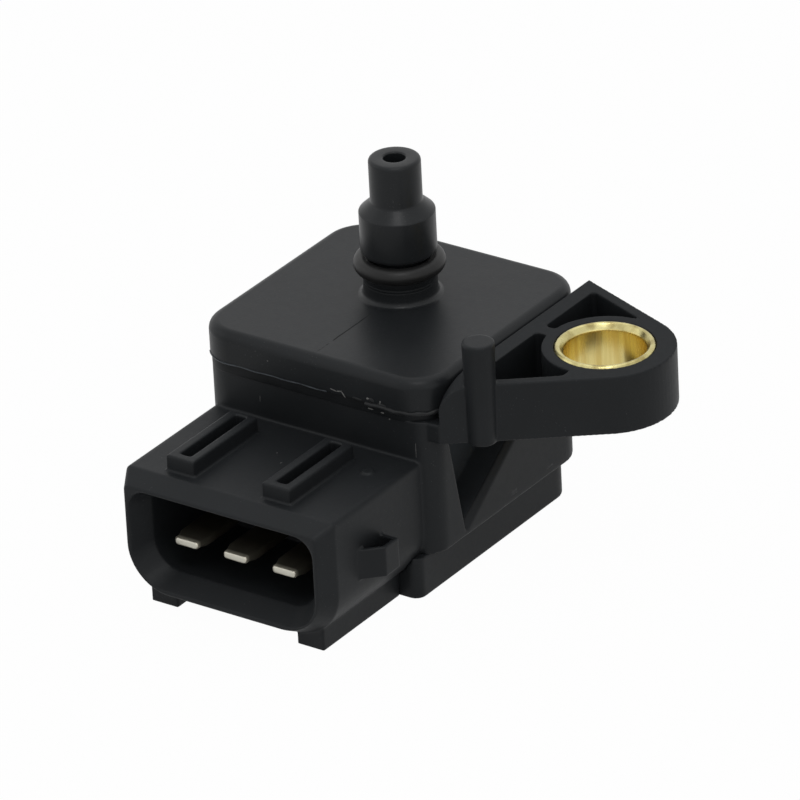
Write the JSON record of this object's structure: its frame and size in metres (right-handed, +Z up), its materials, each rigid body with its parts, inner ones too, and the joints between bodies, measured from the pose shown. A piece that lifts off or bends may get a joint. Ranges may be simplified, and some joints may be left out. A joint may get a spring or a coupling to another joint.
{
  "type": "manifold absolute pressure sensor",
  "caption": "Small black plastic pressure sensor with a stepped nipple and sealing ring on top, a flat blade plug socket in front and a brass bushed mounting flange on one side.",
  "frame": {"origin": "axis of the flange bushing, at the flange's top face", "axes": "+Z up along the nipple, +X to the right across the plug socket, +Y to the back, away from the socket's mouth"},
  "size_m": [0.0386, 0.0375, 0.0327],
  "materials": {
    "housing_plastic": "satin black moulding",
    "cover_plastic": "satin black moulding, smoother than the housing",
    "base_plastic": "satin black moulding",
    "seal_rubber": "smooth",
    "bushing_brass": "turned, bright",
    "terminal_metal": "tinned",
    "adhesive": "cured, glossy",
    "board_ceramic": "matt",
    "inner_rubber": "smooth",
    "cell_glass": "clear",
    "cell_silicon": "polished",
    "gel": "clear, soft",
    "chip_body": "moulded",
    "chip_ceramic": "fired",
    "lead_metal": "ribbon"
  },
  "bodies": {
    "root": {"housing": "housing_plastic", "top_cover": "cover_plastic", "base_cover": "base_plastic", "nipple_o_ring": "seal_rubber", "flange_bushing": "bushing_brass", "terminal_left": "terminal_metal", "terminal_centre": "terminal_metal", "terminal_right": "terminal_metal", "top_adhesive": "adhesive", "base_adhesive": "adhesive", "circuit_board": "board_ceramic", "port_seal": "inner_rubber", "cell_base": "cell_glass", "pressure_cell": "cell_silicon", "cell_gel": "gel", "signal_chip": "chip_body", "capacitor_a": "chip_ceramic", "capacitor_b": "chip_ceramic", "capacitor_c": "chip_ceramic", "trim_resistor": "chip_ceramic", "lead_left": "lead_metal", "lead_centre": "lead_metal", "lead_right": "lead_metal"}
  },
  "joints": []
}
